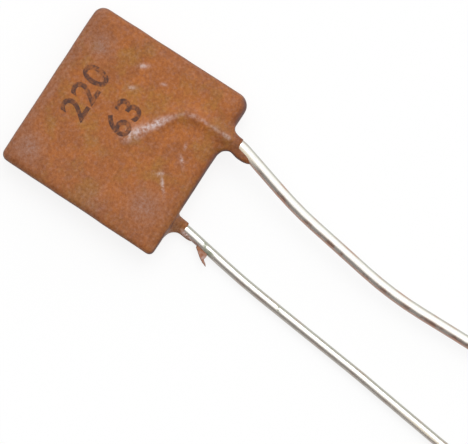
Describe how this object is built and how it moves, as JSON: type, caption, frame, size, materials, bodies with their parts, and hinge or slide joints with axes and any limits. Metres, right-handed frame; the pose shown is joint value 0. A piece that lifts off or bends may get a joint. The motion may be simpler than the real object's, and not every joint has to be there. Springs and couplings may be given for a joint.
{
  "type": "lacquered square plate ceramic capacitor with radial wire leads",
  "caption": "Square ceramic plate capacitor dipped in tan lacquer, worn, with two bent tinned wire leads from one edge and a soft wire ridge on each face.",
  "frame": {"origin": "midway between the leads, on the lacquer's edge that they leave, at mid thickness of the plate", "axes": "+X along the seating edge, +Y from the leads towards the plate, +Z out of the front face"},
  "size_m": [0.0128, 0.0395, 0.0024],
  "materials": {
    "lacquer": "satin, mottled",
    "tinned_wire": "tinned copper, lightly tarnished",
    "ceramic": "fired, unglazed",
    "silver_film": "fired silver, matte",
    "solder": "satin solder",
    "marking_ink": "worn stamping ink"
  },
  "bodies": {
    "root": {"lacquer_coat": "lacquer", "ceramic_plate": "ceramic", "front_electrode": "silver_film", "back_electrode": "silver_film", "front_solder_joint": "solder", "back_solder_joint": "solder", "front_lead": "tinned_wire", "back_lead": "tinned_wire", "lacquer_flake": "lacquer"}
  },
  "joints": []
}
